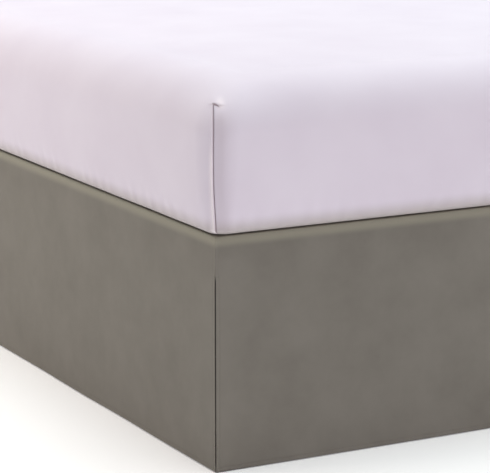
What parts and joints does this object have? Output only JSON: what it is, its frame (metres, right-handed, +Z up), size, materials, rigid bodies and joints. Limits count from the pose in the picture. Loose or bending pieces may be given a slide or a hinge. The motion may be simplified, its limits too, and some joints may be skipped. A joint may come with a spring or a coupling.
{
  "type": "bed skirt on a bed",
  "caption": "Tailored bed skirt with flat drops and split foot corners, hanging over a plain box spring and frame and held down by the mattress.",
  "frame": {"origin": "on the floor, under the middle of the bed", "axes": "+Z up, +Y towards the head end, +X towards the bed's right side as seen from its foot"},
  "size_m": [1.524, 2.032, 0.6333],
  "materials": {
    "skirt_cloth": "smooth brushed microfibre, warm grey",
    "deck_cloth": "plain non-woven",
    "mattress_cover": "smooth pale cotton",
    "box_cover": "plain woven upholstery",
    "frame_steel": "dark powder coat"
  },
  "bodies": {
    "root": {"foot_drop": "skirt_cloth", "side_drop_left": "skirt_cloth", "side_drop_right": "skirt_cloth", "deck": "deck_cloth", "mattress": "mattress_cover", "box_spring": "box_cover", "side_rail_left": "frame_steel", "side_rail_right": "frame_steel", "cross_bar_foot": "frame_steel", "cross_bar_middle": "frame_steel", "cross_bar_head": "frame_steel", "leg_foot_left": "frame_steel", "leg_foot_centre": "frame_steel", "leg_foot_right": "frame_steel", "leg_middle_left": "frame_steel", "leg_middle_centre": "frame_steel", "leg_middle_right": "frame_steel", "leg_head_left": "frame_steel", "leg_head_centre": "frame_steel", "leg_head_right": "frame_steel"}
  },
  "joints": []
}
